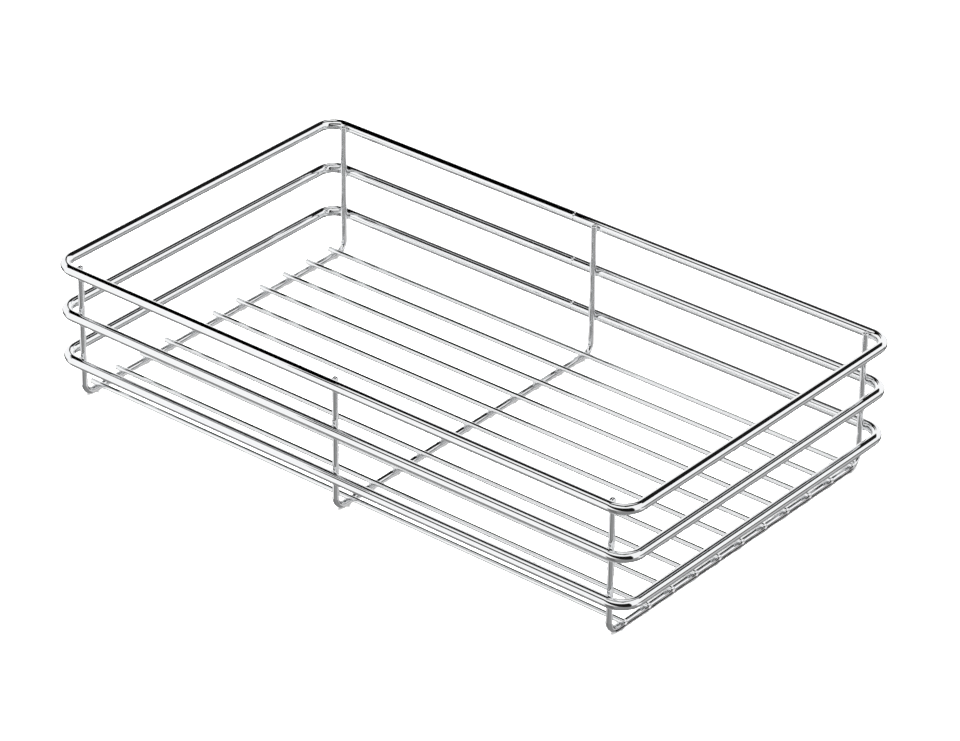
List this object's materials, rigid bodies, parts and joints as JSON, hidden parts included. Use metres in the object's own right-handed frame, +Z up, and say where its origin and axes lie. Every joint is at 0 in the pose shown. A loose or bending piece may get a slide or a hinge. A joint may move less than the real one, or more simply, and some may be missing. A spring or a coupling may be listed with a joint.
{
  "type": "pull out cabinet basket",
  "caption": "Shallow rectangular chrome wire basket for a pull-out cabinet: closed rim rings on U-shaped cross frames, with a floor of parallel lengthwise wires.",
  "frame": {"origin": "under the middle of the basket, in the plane that the three cross frames stand on", "axes": "+X along the basket's length, +Y across its width, +Z up out of its open top"},
  "size_m": [0.5, 0.2922, 0.1046],
  "materials": {
    "ring_wire": "bright chrome plating on steel wire",
    "cross_wire": "bright chrome plating on steel wire",
    "floor_wire": "bright chrome plating on steel wire"
  },
  "bodies": {
    "root": {"rim_ring_bottom": "ring_wire", "rim_ring_middle": "ring_wire", "rim_ring_top": "ring_wire", "cross_frame_left": "cross_wire", "cross_frame_centre": "cross_wire", "cross_frame_right": "cross_wire", "floor_wire_01": "floor_wire", "floor_wire_02": "floor_wire", "floor_wire_03": "floor_wire", "floor_wire_04": "floor_wire", "floor_wire_05": "floor_wire", "floor_wire_06": "floor_wire", "floor_wire_07": "floor_wire", "floor_wire_08": "floor_wire", "floor_wire_09": "floor_wire", "floor_wire_10": "floor_wire", "floor_wire_11": "floor_wire"}
  },
  "joints": []
}
